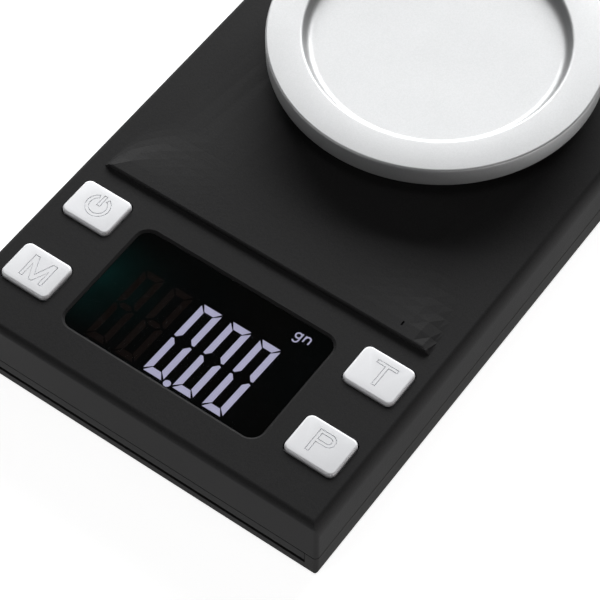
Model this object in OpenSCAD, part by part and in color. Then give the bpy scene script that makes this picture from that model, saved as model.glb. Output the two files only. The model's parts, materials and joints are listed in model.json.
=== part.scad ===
// Pocket digital gram scale: a flat two-part case with a display, four keys and a lift-off round platter
// on a strain-gauge load cell. Millimetres. +X right, +Y to the rear, +Z up.
// Origin: centre of the footprint, on the surface the feet stand on.

/* [Case] */
// Width of the case
body_w = 76.4; // [74:0.2:84]
// Length of the case, front to rear
body_l = 130; // [129:1:140]
// Height of the case above its own underside
body_h = 15.3; // [15:0.1:16]
// Wall thickness
wall = 1.8; // [1.6:0.1:2]
// Radius of the round along the front and rear top edges
front_round = 1.3; // [0.6:0.1:1.6]
// Width of the soft round along the left and right top edges
edge_w = 1.5; // [1:0.1:1.8]
// Height of the soft round along the left and right top edges
edge_h = 3.6; // [2:0.1:4.5]
// Height of the deck's front edge above the display area
deck_rise = 0.9; // [0.5:0.1:1.2]
// Distance from the front of the case to the edge of the deck
deck_y = 37.6; // [37:0.1:38.5]
// Height of the seam between the two case parts above the underside
seam_h = 4.9; // [4.6:0.1:5.2]

/* [Display and keys] */
// Width of the display window
window_w = 40.8; // [36:0.2:41]
// Depth of the display window, front to rear
window_d = 23.8; // [20:0.2:24]
// Corner radius of the display window
window_r = 2.4; // [1:0.1:3]
// Distance from the front of the case to the middle of the window
window_y = 19.25; // [19:0.25:19.5]
// Width of a key
key_w = 10.1; // [9:0.1:10.3]
// Depth of a key, front to rear
key_d = 8.1; // [7:0.1:8.3]
// Distance of the keys from the middle of the case
key_x = 29.6; // [29.4:0.1:29.7]
// Height of a key above the case
key_proud = 0.6; // [0.5:0.05:0.8]
// Travel of a key
key_travel = 0.4; // [0.2:0.05:0.4]

/* [Platter] */
// Outer radius of the platter
platter_r = 30.6; // [28:0.2:32]
// Height of the platter's rim above the display area
platter_top = 8.25; // [8:0.05:9]
// Height of the platter's outer wall
platter_wall_h = 4.1; // [3.4:0.1:4.4]
// Radius of the rim's inner edge
dish_r = 23.8; // [20:0.2:25]
// Depth of the dish below the rim
dish_depth = 2.2; // [1.6:0.1:2.4]
// Distance from the front of the case to the middle of the platter
platter_y = 90.4; // [90:0.1:91]

/* [Power] */
// Diameter of a cell
cell_d = 10.5; // [10:0.1:10.5]
// Length of a cell with its contact
cell_l = 44.5; // [43:0.5:44.5]

/* [Hidden] */
$fn = 64;
eps = 0.01;

// Heights, all from the surface that the feet stand on
foot_gap = 0.6;
z_bottom = foot_gap;
z_seam = z_bottom + seam_h;
z_top = z_bottom + body_h;
z_floor = z_bottom + wall;
z_skin = z_top - wall;

// Plan positions
y_front = -body_l / 2;
y_rear = body_l / 2;
inner_x = body_w / 2 - wall;
inner_front = y_front + wall;
inner_rear = y_rear - wall;
corner_r = 0.8;
base_round = 0.8;
base_chamfer = 0.2;
edge_steps = 14;
seam_groove = 0.2;

// Deck: its plan from the edge rearwards, and how its height falls off
deck_half = 34.2;
deck_end = 0.8;
deck_fan = 0.8;
deck_sink = 0.5;
flat_row = 40;
lip_rows = [[0, 0.72], [0.12, 0.9], [0.35, 1]];
lip_len = 14;
lip_start = 0.6;
lip_steps = 6;
crown_x = [12, 34];
deck_columns = [0, 0.3, 0.8, 1.7, 3.6, 6, 9, 12.5, 16, 19.5, 22.4];
tail = [78, 87];
tail_steps = 4;
mark = [27.1, 39.5];
mark_size = [0.35, 0.9, 0.5];

// Feet, set into the underside
foot_r = 4;
foot_sink = 0.6;
foot_x = body_w / 2 - 5.6;
foot_places = [for (y = [y_front + 14, y_rear - 9], x = [-foot_x, foot_x]) [x, y]];

// Front slot: a gap between the two case parts, between the lower part's corner posts
slot_x = body_w / 2 - 2.4;
slot_z0 = z_bottom + 1.85;
slot_z1 = z_bottom + 2.8;
slip = 0.1;
lip_t = 0.8;
lip_h = 1.2;

// Screw bosses, as distances from the middle and from the front
boss_r = 2.4;
boss_x = inner_x - lip_t - 0.3 - boss_r;
boss_y_front = 5.4;
boss_y_rear = body_l - 18;
boss_places = [for (x = [-boss_x, boss_x], y = [boss_y_front, boss_y_rear]) [x, y_front + y]];
screw_shaft_r = 0.9;
screw_head_r = 1.8;
screw_head_h = 1.2;
screw_head_z = z_bottom + 1.6;

// Display stack, from the window down to the board
window_gap = 0.1;
window_sink = 0.35;
window_t = 1.0;
window_x = 0.2;
window_z = z_top - window_sink - window_t;
lcd_w = window_w + 2.4;
lcd_d = window_d + 2.4;
lcd_t = 1.9;
lcd_top = window_z - 0.05;
lcd_gap = 0.1;
frame_t = 1;
frame_w = lcd_w + 2 * (lcd_gap + frame_t);
frame_d = lcd_d + 2 * (lcd_gap + frame_t);
frame_room = 0.5;
board_t = 1.2;
board_top = z_bottom + 8.6;
board_z = board_top - board_t;
guide_w = 39.2;
guide_d = 21.4;
win_c = [window_x, y_front + window_y];

// Keys and switches
key_ys = [12.9, 29.4];
key_shift = 0.2;
key_gap = 0.25;
key_r = 1.3;
key_edge = 0.35;
key_top = z_top + key_proud;
flange_top = z_skin - 0.1;
flange_h = 0.8;
flange_margin = 0.7;
plunger_top = flange_top - flange_h - 0.35;
switch_w = 6;
switch_h = 2.7;
plunger_r = 1.6;
switch_bore_r = 1.65;
plunger_in = 0.7;
bore_depth = plunger_in + key_travel + 0.2;
key_names = ["power", "mode", "tare", "count"];
key_places = [
    [key_shift - key_x, y_front + key_ys[1]], [key_shift - key_x, y_front + key_ys[0]],
    [key_shift + key_x, y_front + key_ys[1]], [key_shift + key_x, y_front + key_ys[0]]
];

// Board posts of the upper case part
post_r = 1.6;
post_hole_r = 0.7;
post_places = [for (p = [[30, 21.1], [13.5, 35.3]], s = [-1, 1]) [s * p[0], y_front + p[1]]];

// Load path under the platter
pan_c = [0, y_front + platter_y];
beam_l = 47;
beam_w = 12;
beam_h = 6;
beam_z = z_bottom + 4.8;
beam_top = beam_z + beam_h;
end_l = 12;
flexure_r = 2.4;
flexure_x = 6.5;
spacer_t = 1;
pad_h = 0.7;
pad_l = 11.4;
bracket_t = 1.2;
bracket_z = beam_top + pad_h;
bracket_top = bracket_z + bracket_t;
stem_r = 5;
stem_hole_r = 8;
collar_t = 1.4;
collar_h = 0.8;
hub_r = 12;
hub_t = 1.8;
rim_z = z_top + platter_top;
dish_z = rim_z - dish_depth;
skin_t = 1.2;
seat_z = dish_z - skin_t;
pad_proud = 0.2;
pad_sink = 0.3;
pad_r = 2;
pad_circle = 8.5;
hub_top = seat_z - pad_proud;
ring_gap = 0.4;
ring_t = 1;
ring_h = 0.8;
rim_edge_r = 0.6;
dish_blend_r = dish_depth - 0.15;
beam_screw_r = 1.25;
thread_gap = 0.05;
beam_screw_head_r = 2.2;
fixed_screws = [-pan_c[0] - 20.8, -pan_c[0] - 15.6];
free_screws = [15.8, 21];
overload_x = 17.5;
overload_gap = 0.35;
overload_r = 1.5;

// Battery bay, open at the bottom under the door
bay_wall = 1.2;
bay_half = cell_l / 2 + 2.6;
bay_y0 = y_rear - 3.6 - 2 * cell_d - 0.4;
bay_y1 = y_rear - 3.6;
bay_top = z_bottom + 12.2;
bay_roof = 0.8;
door_t = 1.3;
door_x = bay_half + 1;
door_gap = 0.15;
tongue_w = 1;
tongue_z0 = z_bottom + 0.65;
door_y0 = bay_y0 - 0.5;
cell_z = z_bottom + door_t + 0.2 + cell_d / 2;
cell_y0 = bay_y0 + 0.2 + cell_d / 2;
cell_y1 = bay_y1 - 0.2 - cell_d / 2;
cell_shift = 1.5;
plate_t = 0.4;
plate_half = 4;
dimple_r = 1.5;
tab_reach = 3.2;
tab_h = 2.4;
tab_low = -3;
tab_high = 0.8;
spring_turns = 3.5;
spring_steps = 14;
spring_wire = 0.25;

// Leads inside the case: the points that each one passes, as distances from the middle and the front
lead_r = 0.6;
cable_r = 1;
lead_y0 = 37;
route_positive = [[28, 120.74, 9.4], [28, 114, 9.4], [28.2, 104, 9], [28.4, 92, 7.6], [28.6, 78, 6.4],
    [28.2, 64, 6.2], [28, 52, 6.4], [25, 43, 6.9], [22, 39.5, 6.8], [21.4, lead_y0, 6.8]];
route_negative = [[28, 110.24, 5.6], [28, 101, 5.2], [28.6, 90, 4.2], [28.2, 76, 4.2], [27.6, 62, 4.4],
    [26, 50, 5], [22, 43, 6.4], [19.6, 40, 6.8], [19, lead_y0, 6.8]];
route_cable = [[-4, platter_y - beam_w / 2 - 0.9, 9], [-4, 81, 8.6], [-6, 75, 6], [-9, 68, 4.4],
    [-11, 60, 4.2], [-10, 51, 4.6], [-8, 43, 6.2], [-8, lead_y0, 6.8]];

// ---- outlines and shared shapes ----

// Rectangle with true round corners, centred
module round_rect(w, d, r) {
    square([w - 2 * r, d], center = true);
    square([w, d - 2 * r], center = true);
    for (x = [-1, 1], y = [-1, 1])
        translate([x * (w / 2 - r), y * (d / 2 - r)]) circle(r);
}

module round_plate(w, d, r, h) {
    linear_extrude(h) round_rect(w, d, r);
}

// Box from its lowest to its highest corner
module span(low, high) {
    translate(low) cube(high - low);
}

// Quarter of the outline of a top edge, from the side wall up to the flat top
function edge_curve(s) = [for (k = [0:edge_steps])
    let (a = 90 * k / edge_steps)
    [s * (body_w / 2 - edge_w * (1 - cos(a))), z_top - edge_h * (1 - sin(a))]];
function reversed(p) = [for (k = [len(p) - 1:-1:0]) p[k]];

// Cross-section of the case, seen from the front
module front_profile() {
    x = body_w / 2;
    union() {
        polygon(concat([[x, z_bottom + base_round]], edge_curve(1), reversed(edge_curve(-1)),
            [[-x, z_bottom + base_round]]));
        translate([-x + base_round, z_bottom]) square([body_w - 2 * base_round, base_round + 1]);
        for (s = [-1, 1])
            translate([s * (x - base_round), z_bottom + base_round]) circle(base_round);
    }
}

// Cross-section of the case, seen from the right
module side_profile() {
    c = base_chamfer;
    r = front_round;
    polygon([[y_front + c, z_bottom], [y_rear - c, z_bottom], [y_rear, z_bottom + c], [y_rear, z_top - r],
        [y_rear - r, z_top], [y_front + r, z_top], [y_front, z_top - r], [y_front, z_bottom + c]]);
    for (y = [y_front + r, y_rear - r]) translate([y, z_top - r]) circle(r);
}

// Solid outside shape of the whole case
module case_block() {
    intersection() {
        linear_extrude(z_top + 1) round_rect(body_w, body_l, corner_r);
        translate([0, y_rear + 1, 0]) rotate([90, 0, 0]) linear_extrude(body_l + 2) front_profile();
        translate([-body_w, 0, 0]) rotate([90, 0, 90]) linear_extrude(2 * body_w) side_profile();
    }
}

// Screw standing on its point: shaft from z0 up to z1, head below
module screw(z0, z1, shaft_r, head_r, head_h) {
    difference() {
        union() {
            translate([0, 0, z0 - head_h]) cylinder(r = head_r, h = head_h);
            translate([0, 0, z0 - eps]) cylinder(r = shaft_r, h = z1 - z0 + eps);
        }
        for (a = [0, 90])
            rotate(a) span([-head_r * 0.6, -0.2, z0 - head_h - eps], [head_r * 0.6, 0.2, z0 - head_h + 0.6]);
    }
}

// ---- case ----

module housing_cavity() {
    span([-inner_x, inner_front, z_bottom - 1], [inner_x, inner_rear, z_skin]);
}

// Soft change from 0 to 1 as v goes from a to b
function soft(v, a, b) = let (t = max(0, min(1, (v - a) / (b - a)))) t * t * (3 - 2 * t);

// Share of the deck's full height at x from the middle and y behind its edge: crowned across, with a lip
// along the edge that is upright to its ends and fans out behind them, and a fall to the case top at the rear
function deck_share(x, y) =
    let (across = 1 - soft(abs(x), crown_x[0], crown_x[1]),
        lip = 1 - soft(y, lip_start, lip_start + lip_len),
        end = soft(deck_half - abs(x), 0, deck_end + deck_fan * y))
    (across + (1 - across) * lip) * end * (1 - soft(y, tail[0], tail[1]));

// Crowned deck, standing on the case top
module deck() {
    rows = concat(lip_rows,
        [for (k = [0:lip_steps]) [lip_start + lip_len * k / lip_steps, 1]], [[flat_row, 1]],
        [for (k = [0:tail_steps]) [tail[0] + (tail[1] - tail[0]) * k / tail_steps, 1]]);
    left = [for (c = deck_columns) c - deck_half];
    columns = concat(left, [0], [for (k = [len(left) - 1:-1:0]) -left[k]]);
    n = len(rows) + 2;
    base = z_top - deck_sink;
    y0 = y_front + deck_y;
    points = [for (x = columns) each concat([[x, y0, base]],
        [for (r = rows) [x, y0 + r[0], z_top - eps + (deck_rise + eps) * r[1] * deck_share(x, r[0])]],
        [[x, y0 + tail[1], base]])];
    last = len(columns) - 1;
    walls = [for (i = [0:last - 1], j = [0:n - 1]) each
        let (a = i * n + j, b = i * n + (j + 1) % n) [[a, b, b + n], [a, b + n, a + n]]];
    polyhedron(points, concat(walls, [[for (j = [n - 1:-1:0]) j]], [[for (j = [0:n - 1]) last * n + j]]),
        convexity = 4);
}

// Opening for the window, and the thinner skin around it that makes room for the display
module window_opening() {
    translate([win_c[0], win_c[1], z_skin - 1]) {
        round_plate(window_w, window_d, window_r, wall + 2);
        round_plate(frame_w + 2 * frame_room, frame_d + 2 * frame_room, 1.5, lcd_top + 0.02 - z_skin + 1);
    }
    hull() {
        translate([win_c[0], win_c[1], z_top - window_sink + 0.05])
            linear_extrude(eps) round_rect(window_w, window_d, window_r, $fn = 32);
        translate([win_c[0], win_c[1], z_top])
            linear_extrude(0.2) round_rect(window_w + 0.9, window_d + 0.9, window_r + 0.45, $fn = 32);
    }
}

module upper_housing() {
    color("#2e2e2f") difference() {
        union() {
            difference() {
                intersection() {
                    case_block();
                    union() {
                        span([-body_w, y_front - 1, z_seam], [body_w, y_rear + 1, z_top + 1]);
                        span([-slot_x + slip, y_front - 1, slot_z1],
                            [slot_x - slip, inner_front, z_seam + 1]);
                    }
                }
                housing_cavity();
            }
            for (p = boss_places)
                translate([p[0], p[1], z_seam]) cylinder(r = boss_r, h = z_skin - z_seam + 0.3);
            for (p = post_places)
                translate([p[0], p[1], board_top]) cylinder(r = post_r, h = z_skin - board_top + 0.3);
            deck();
            translate([pan_c[0], pan_c[1], z_top - 1])
                cylinder(r = stem_hole_r + collar_t, h = 1 + deck_rise + collar_h);
        }
        for (p = boss_places)
            translate([p[0], p[1], z_seam - 1]) cylinder(r = screw_shaft_r, h = 8.5);
        for (p = post_places)
            translate([p[0], p[1], board_top - 1]) cylinder(r = post_hole_r, h = 4);
        for (p = key_places)
            translate([p[0], p[1], z_skin - 1])
                round_plate(key_w + 2 * key_gap, key_d + 2 * key_gap, key_r + key_gap, wall + 3);
        window_opening();
        translate([mark[0], y_front + mark[1], z_top + deck_rise - mark_size[2]])
            cube([mark_size[0], mark_size[1], 1]);
        translate([0, 0, z_seam - eps]) linear_extrude(seam_groove + eps) difference() {
            square([body_w + 2, body_l + 2], center = true);
            round_rect(body_w - 2 * seam_groove, body_l - 2 * seam_groove, corner_r - seam_groove);
        }
        translate([pan_c[0], pan_c[1], z_skin - 1]) cylinder(r = stem_hole_r, h = 8);
    }
}

module bay_shell() {
    span([-bay_half - bay_wall, bay_y0 - bay_wall, z_bottom + 0.2],
        [bay_half + bay_wall, bay_y1 + bay_wall, bay_top + bay_roof]);
}

// Room for the door: the plate, its side tongues and the strip of rear wall that it carries
module door_room() {
    g = door_gap;
    span([-door_x - g, door_y0 - g, z_bottom - 1], [door_x + g, y_rear + 1, z_bottom + door_t + 0.1]);
    span([-door_x - tongue_w - g, door_y0 - g, tongue_z0 - 0.1],
        [door_x + tongue_w + g, y_rear + 1, z_bottom + door_t + 0.1]);
    span([-door_x - g, inner_rear - g, z_bottom - 1], [door_x + g, y_rear + 1, z_seam + 1]);
}

module lower_housing() {
    color("#303031") difference() {
        union() {
            difference() {
                intersection() {
                    case_block();
                    span([-body_w, y_front - 1, z_bottom], [body_w, y_rear + 1, z_seam]);
                }
                span([-inner_x, inner_front, z_floor], [inner_x, inner_rear, z_seam + 1]);
                span([-slot_x, y_front - 1, slot_z0], [slot_x, inner_front, z_seam + 1]);
            }
            difference() {
                span([-inner_x + slip, inner_front + slip, z_floor - 0.2],
                    [inner_x - slip, inner_rear - slip, z_seam + lip_h]);
                span([-inner_x + slip + lip_t, inner_front + slip + lip_t, z_floor - 1],
                    [inner_x - slip - lip_t, inner_rear - slip - lip_t, z_seam + lip_h + 1]);
            }
            bay_shell();
            for (p = boss_places)
                translate([p[0], p[1], z_floor - 0.2]) cylinder(r = boss_r, h = z_seam - z_floor + 0.2);
            span([-beam_l / 2, pan_c[1] - beam_w / 2, z_floor - 0.2],
                [-beam_l / 2 + end_l, pan_c[1] + beam_w / 2, beam_z - spacer_t]);
            translate([overload_x, pan_c[1], z_floor - 0.2]) cylinder(r = 3, h = 1.8);
        }
        span([-bay_half, bay_y0, z_bottom - 1], [bay_half, bay_y1, bay_top]);
        door_room();
        for (p = boss_places) {
            translate([p[0], p[1], z_bottom - 1])
                cylinder(r = screw_head_r + 0.3, h = screw_head_z - z_bottom + 1);
            translate([p[0], p[1], z_bottom - 1]) cylinder(r = screw_shaft_r + 0.3, h = 8);
        }
        for (p = foot_places)
            translate([p[0], p[1], z_bottom - 1]) cylinder(r = foot_r, h = 1 + foot_sink);
        for (x = fixed_screws) {
            translate([x, pan_c[1], z_bottom - 1]) cylinder(r = beam_screw_head_r + 0.2, h = 2.4);
            translate([x, pan_c[1], z_bottom - 1]) cylinder(r = beam_screw_r + 0.2, h = 8);
        }
        translate([overload_x, pan_c[1], z_bottom - 1]) cylinder(r = overload_r, h = 8);
        for (t = [[cell_y0, tab_low], [cell_y1, tab_high]])
            span([bay_half - 1, t[0] - plate_t, cell_z + t[1] - slip],
                [bay_half + bay_wall + 1, t[0] + plate_t, cell_z + t[1] + tab_h + slip]);
    }
}

module battery_door() {
    color("#333334") difference() {
        union() {
            intersection() {
                case_block();
                union() {
                    span([-door_x, door_y0, z_bottom], [door_x, y_rear + 1, z_bottom + door_t]);
                    span([-door_x, inner_rear, z_bottom], [door_x, y_rear + 1, z_seam - slip]);
                }
            }
            span([-door_x - tongue_w, door_y0, tongue_z0],
                [door_x + tongue_w, inner_rear, z_bottom + door_t]);
        }
        for (k = [0:4])
            span([-9, y_rear - 9 + 1.4 * k, z_bottom - 1], [9, y_rear - 8.3 + 1.4 * k, z_bottom + 0.4]);
    }
}

// ---- feet and screws ----

module foot(k) {
    p = foot_places[k];
    color("#1c1c1c") translate([p[0], p[1], 0]) {
        cylinder(r = foot_r - 0.4, h = 0.3);
        translate([0, 0, 0.3]) cylinder(r = foot_r, h = z_bottom + foot_sink - 0.3);
    }
}

module foot_front_left() foot(0);
module foot_front_right() foot(1);
module foot_rear_left() foot(2);
module foot_rear_right() foot(3);

module housing_screws() {
    color("#8d8f92") for (p = boss_places)
        translate([p[0], p[1], 0])
            screw(screw_head_z, z_seam + 7, screw_shaft_r, screw_head_r, screw_head_h);
}

// ---- display ----

module display_window() {
    color("#0b0c0e") translate([win_c[0], win_c[1], window_z])
        round_plate(window_w - 2 * window_gap, window_d - 2 * window_gap, window_r - window_gap, window_t);
}

module lcd_glass() {
    color("#101114") translate([win_c[0], win_c[1], lcd_top - lcd_t]) round_plate(lcd_w, lcd_d, 0.3, lcd_t);
}

module lcd_frame() {
    h = lcd_top - board_top;
    color("#e9e9e6") translate([win_c[0], win_c[1], board_top]) difference() {
        round_plate(frame_w, frame_d, 1, h);
        translate([0, 0, -1]) round_plate(lcd_w + 2 * lcd_gap, lcd_d + 2 * lcd_gap, 0.4, h + 2);
    }
}

module backlight_guide() {
    color("#f4f4f0") translate([win_c[0] + 0.6, win_c[1], board_top + 0.05])
        round_plate(guide_w, guide_d, 0.5, lcd_top - lcd_t - board_top - 0.1);
}

module backlight_leds() {
    color("#e8e1b8") for (y = [-5, 5])
        translate([win_c[0] - 20.2, win_c[1] + y - 1.75, board_top]) cube([1.2, 3.5, 1.8]);
}

module zebra_strips() {
    color("#c9a9b4") for (s = [-1, 1])
        translate([win_c[0], win_c[1] + s * (lcd_d / 2 - 1), board_top])
            linear_extrude(lcd_top - lcd_t - board_top) square([38, 1.8], center = true);
}

// ---- electronics ----

module main_board() {
    color("#1f5c3a") difference() {
        union() {
            span([-34, y_front + 8.2, board_z], [34, y_front + lead_y0 + 0.4, board_top]);
            span([-26, y_front + 3.5, board_z], [26, y_front + 9, board_top]);
        }
        for (p = post_places)
            translate([p[0], p[1], board_z - 1]) cylinder(r = post_hole_r + 0.2, h = board_t + 2);
    }
}

module controller_chip() {
    color("#141414") translate([-2, y_front + 17, board_z]) mirror([0, 0, 1])
        cylinder(r1 = 5, r2 = 3.4, h = 1.2);
}

module converter_chip() {
    color("#1a1a1a") {
        span([-13, y_front + 22, board_z - 1.7], [-9, y_front + 32, board_z - 0.2]);
        for (k = [0:6], x = [-14, -9])
            span([x, y_front + 22.7 + 1.27 * k, board_z - 0.9], [x + 1, y_front + 23.1 + 1.27 * k, board_z]);
    }
}

module board_passives() {
    color("#b59a6a") {
        for (k = [0:4])
            span([8 + 3 * k, y_front + 12, board_z - 0.6], [9.2 + 3 * k, y_front + 14, board_z]);
        for (k = [0:3])
            span([-22, y_front + 12 + 3 * k, board_z - 0.6], [-20, y_front + 13.2 + 3 * k, board_z]);
        translate([12, y_front + 22, board_z - 3.4]) cylinder(r = 2.5, h = 3.4);
        span([-2, y_front + 27, board_z - 3], [6, y_front + 30.6, board_z]);
    }
}

module lead_connectors() {
    color("#ece7da") {
        span([17.4, y_front + 32.4, board_z - 2.4], [23, y_front + lead_y0, board_z]);
        span([-11, y_front + 33.4, board_z - 2.4], [-5, y_front + lead_y0, board_z]);
    }
}

module board_screws() {
    color("#9a9c9f") for (p = post_places)
        translate([p[0], p[1], 0]) screw(board_z, board_top + 2.8, post_hole_r, 1.4, 0.9);
}

module tact_switch(k) {
    p = key_places[k];
    color("#202022") translate([p[0], p[1], board_top]) difference() {
        round_plate(switch_w, switch_w, 0.4, switch_h);
        translate([0, 0, switch_h - bore_depth]) cylinder(r = switch_bore_r, h = bore_depth + 1);
    }
}

module plunger(k) {
    p = key_places[k];
    z0 = board_top + switch_h - plunger_in;
    color("#101012") translate([p[0], p[1], z0]) cylinder(r = plunger_r, h = plunger_top - z0);
}

module key(k) {
    p = key_places[k];
    flange_w = key_w + 2 * flange_margin;
    flange_d = key_d + 2 * flange_margin;
    color("#e3e4e8") translate([p[0], p[1], 0]) {
        translate([0, 0, plunger_top]) cylinder(r = 1.5, h = 0.6);
        translate([0, 0, flange_top - flange_h]) round_plate(flange_w, flange_d, key_r, flange_h);
        hull() {
            translate([0, 0, flange_top - 0.2])
                linear_extrude(key_top - key_edge - flange_top + 0.2)
                    round_rect(key_w, key_d, key_r, $fn = 32);
            translate([0, 0, key_top - 0.1])
                linear_extrude(0.1)
                    round_rect(key_w - 2 * key_edge, key_d - 2 * key_edge, key_r - key_edge, $fn = 32);
        }
    }
}

module switch_power() tact_switch(0);
module switch_mode() tact_switch(1);
module switch_tare() tact_switch(2);
module switch_count() tact_switch(3);
module plunger_power() plunger(0);
module plunger_mode() plunger(1);
module plunger_tare() plunger(2);
module plunger_count() plunger(3);
module key_power() key(0);
module key_mode() key(1);
module key_tare() key(2);
module key_count() key(3);

// ---- load cell and platter ----

// Bar with two joined cross holes, which leave four thin places that bend
module load_cell() {
    color("#c3c6ca") difference() {
        span([-beam_l / 2, pan_c[1] - beam_w / 2, beam_z], [beam_l / 2, pan_c[1] + beam_w / 2, beam_top]);
        for (x = [-flexure_x, flexure_x])
            translate([x, pan_c[1] - beam_w, beam_z + beam_h / 2]) rotate([-90, 0, 0])
                cylinder(r = flexure_r, h = 2 * beam_w);
        span([-flexure_x, pan_c[1] - beam_w, beam_z + beam_h / 2 - 0.7],
            [flexure_x, pan_c[1] + beam_w, beam_z + beam_h / 2 + 0.7]);
        for (x = fixed_screws)
            translate([x, pan_c[1], beam_z - 1]) cylinder(r = beam_screw_r, h = 6);
        for (x = free_screws)
            translate([x, pan_c[1], beam_top - 5]) cylinder(r = beam_screw_r + thread_gap, h = 6);
    }
}

module strain_gauges() {
    color("#b8742c") for (x = [-flexure_x, flexure_x]) {
        span([x - 2.5, pan_c[1] - 2, beam_top], [x + 2.5, pan_c[1] + 2, beam_top + 0.15]);
        span([x - 2.5, pan_c[1] - 2, beam_z - 0.15], [x + 2.5, pan_c[1] + 2, beam_z]);
    }
}

module gauge_sealant() {
    color("#f1efe9") span([-9, pan_c[1] - beam_w / 2 - 0.9, beam_z + 1.2],
        [1, pan_c[1] - beam_w / 2, beam_top - 0.6]);
}

module load_cell_spacer() {
    color("#a9acb0") difference() {
        span([-beam_l / 2, pan_c[1] - beam_w / 2, beam_z - spacer_t],
            [-beam_l / 2 + end_l, pan_c[1] + beam_w / 2, beam_z]);
        for (x = fixed_screws)
            translate([x, pan_c[1], beam_z - 2]) cylinder(r = beam_screw_r + 0.2, h = 4);
    }
}

module load_cell_screws() {
    color("#8d8f92") for (x = fixed_screws)
        translate([x, pan_c[1], 0])
            screw(z_bottom + 1.4, beam_z + 4.6, beam_screw_r, beam_screw_head_r, 1.2);
}

module overload_screw() {
    color("#77797c") translate([overload_x, pan_c[1], z_bottom + 0.3])
        cylinder(r = overload_r, h = beam_z - overload_gap - z_bottom - 0.3);
}

module pan_carrier() {
    color("#252526") difference() {
        union() {
            span([-8, pan_c[1] - 7, bracket_z], [beam_l / 2, pan_c[1] + 7, bracket_top]);
            span([beam_l / 2 - pad_l, pan_c[1] - beam_w / 2, beam_top],
                [beam_l / 2, pan_c[1] + beam_w / 2, bracket_z + eps]);
            translate([0, pan_c[1], bracket_top - eps])
                cylinder(r = stem_r, h = hub_top - hub_t - bracket_top + 2 * eps);
            translate([0, pan_c[1], hub_top - hub_t]) cylinder(r = hub_r, h = hub_t);
        }
        for (x = free_screws) {
            translate([x, pan_c[1], beam_top - 1]) cylinder(r = beam_screw_r + 0.15, h = 8);
            translate([x, pan_c[1], bracket_top - 1.4]) cylinder(r = beam_screw_head_r + 0.2, h = 4);
        }
        for (a = [90, 210, 330])
            translate([pad_circle * cos(a), pan_c[1] + pad_circle * sin(a), hub_top - pad_sink])
                cylinder(r = pad_r, h = 2);
    }
}

module carrier_screws() {
    color("#8d8f92") for (x = free_screws)
        translate([x, pan_c[1], 0]) mirror([0, 0, 1])
            screw(-(bracket_top - 1.4), -(beam_top - 4), beam_screw_r, beam_screw_head_r, 1.2);
}

module pan_pads() {
    color("#d8d8d4") for (a = [90, 210, 330])
        translate([pad_circle * cos(a), pan_c[1] + pad_circle * sin(a), hub_top - pad_sink])
            cylinder(r = pad_r, h = pad_sink + pad_proud);
}

// Half of the platter's cross-section: radius against height
function arc(c, r, a0, a1, n) = [for (k = [0:n])
    let (a = a0 + (a1 - a0) * k / n) c + r * [cos(a), sin(a)]];
module platter_profile() {
    skirt_in = platter_r - skin_t;
    rim_under = rim_z - skin_t;
    polygon(concat(
        [[0, dish_z]],
        arc([dish_r - dish_blend_r, dish_z + dish_blend_r], dish_blend_r, -90, 0, 8),
        [[dish_r, rim_z]],
        arc([platter_r - rim_edge_r, rim_z - rim_edge_r], rim_edge_r, 90, 0, 5),
        [[platter_r, rim_z - platter_wall_h], [skirt_in, rim_z - platter_wall_h], [skirt_in, rim_under],
            [dish_r + skin_t, rim_under]],
        arc([dish_r - dish_blend_r, dish_z + dish_blend_r], dish_blend_r + skin_t, -10, -90, 8),
        [[hub_r + ring_gap + ring_t, seat_z], [hub_r + ring_gap + ring_t, seat_z - ring_h],
            [hub_r + ring_gap, seat_z - ring_h], [hub_r + ring_gap, seat_z], [0, seat_z]]));
}

module platter() {
    color("#c9cacd") translate([0, pan_c[1], 0]) rotate_extrude($fn = 96) platter_profile();
}

// ---- power ----

// Cell lying along X, with its raised contact towards +X
module cell(y) {
    translate([cell_shift - cell_l / 2, y, cell_z]) rotate([0, 90, 0]) {
        cylinder(r = cell_d / 2, h = cell_l - 0.8);
        cylinder(r = 1.9, h = cell_l);
    }
}

module battery_front() {
    color("#3c6a52") mirror([1, 0, 0]) cell(cell_y0);
}

module battery_rear() {
    color("#3c6a52") cell(cell_y1);
}

// Round wire swept along a list of points, with one ring at each point; the end faces lie square to end_dir
function unit(v) = v / norm(v);
function along(p, k, end_dir) = !is_undef(end_dir) && (k == 0 || k == len(p) - 1) ? end_dir
    : unit(p[min(k + 1, len(p) - 1)] - p[max(k - 1, 0)]);
module swept_wire(p, r, sides = 8, up = [0, 0, 1], end_dir = undef) {
    n = len(p);
    rings = [for (k = [0:n - 1])
        let (t = along(p, k, end_dir), s = unit(cross(t, up)), u = cross(s, t))
        for (j = [0:sides - 1]) p[k] + r * (cos(360 * j / sides) * s + sin(360 * j / sides) * u)];
    walls = [for (k = [0:n - 2], j = [0:sides - 1])
        let (a = k * sides + j, b = k * sides + (j + 1) % sides) [a, b, b + sides, a + sides]];
    polyhedron(rings, concat(walls, [[for (j = [0:sides - 1]) sides - 1 - j]],
        [[for (j = [0:sides - 1]) (n - 1) * sides + j]]), convexity = 4);
}

// Point between p[1] and p[2] on the smooth curve through four points
function smooth_point(p, t) = 0.5 * (2 * p[1] + (p[2] - p[0]) * t
    + (2 * p[0] - 5 * p[1] + 4 * p[2] - p[3]) * t * t + (3 * p[1] - p[0] - 3 * p[2] + p[3]) * t * t * t);
function smooth_route(p, m) = let (q = concat([2 * p[0] - p[1]], p, [2 * p[len(p) - 1] - p[len(p) - 2]]))
    concat([for (k = [0:len(p) - 2], j = [0:m - 1])
        smooth_point([q[k], q[k + 1], q[k + 2], q[k + 3]], j / m)], [p[len(p) - 1]]);
function from_front(p) = [for (q = p) [q[0], y_front + q[1], q[2]]];

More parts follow.
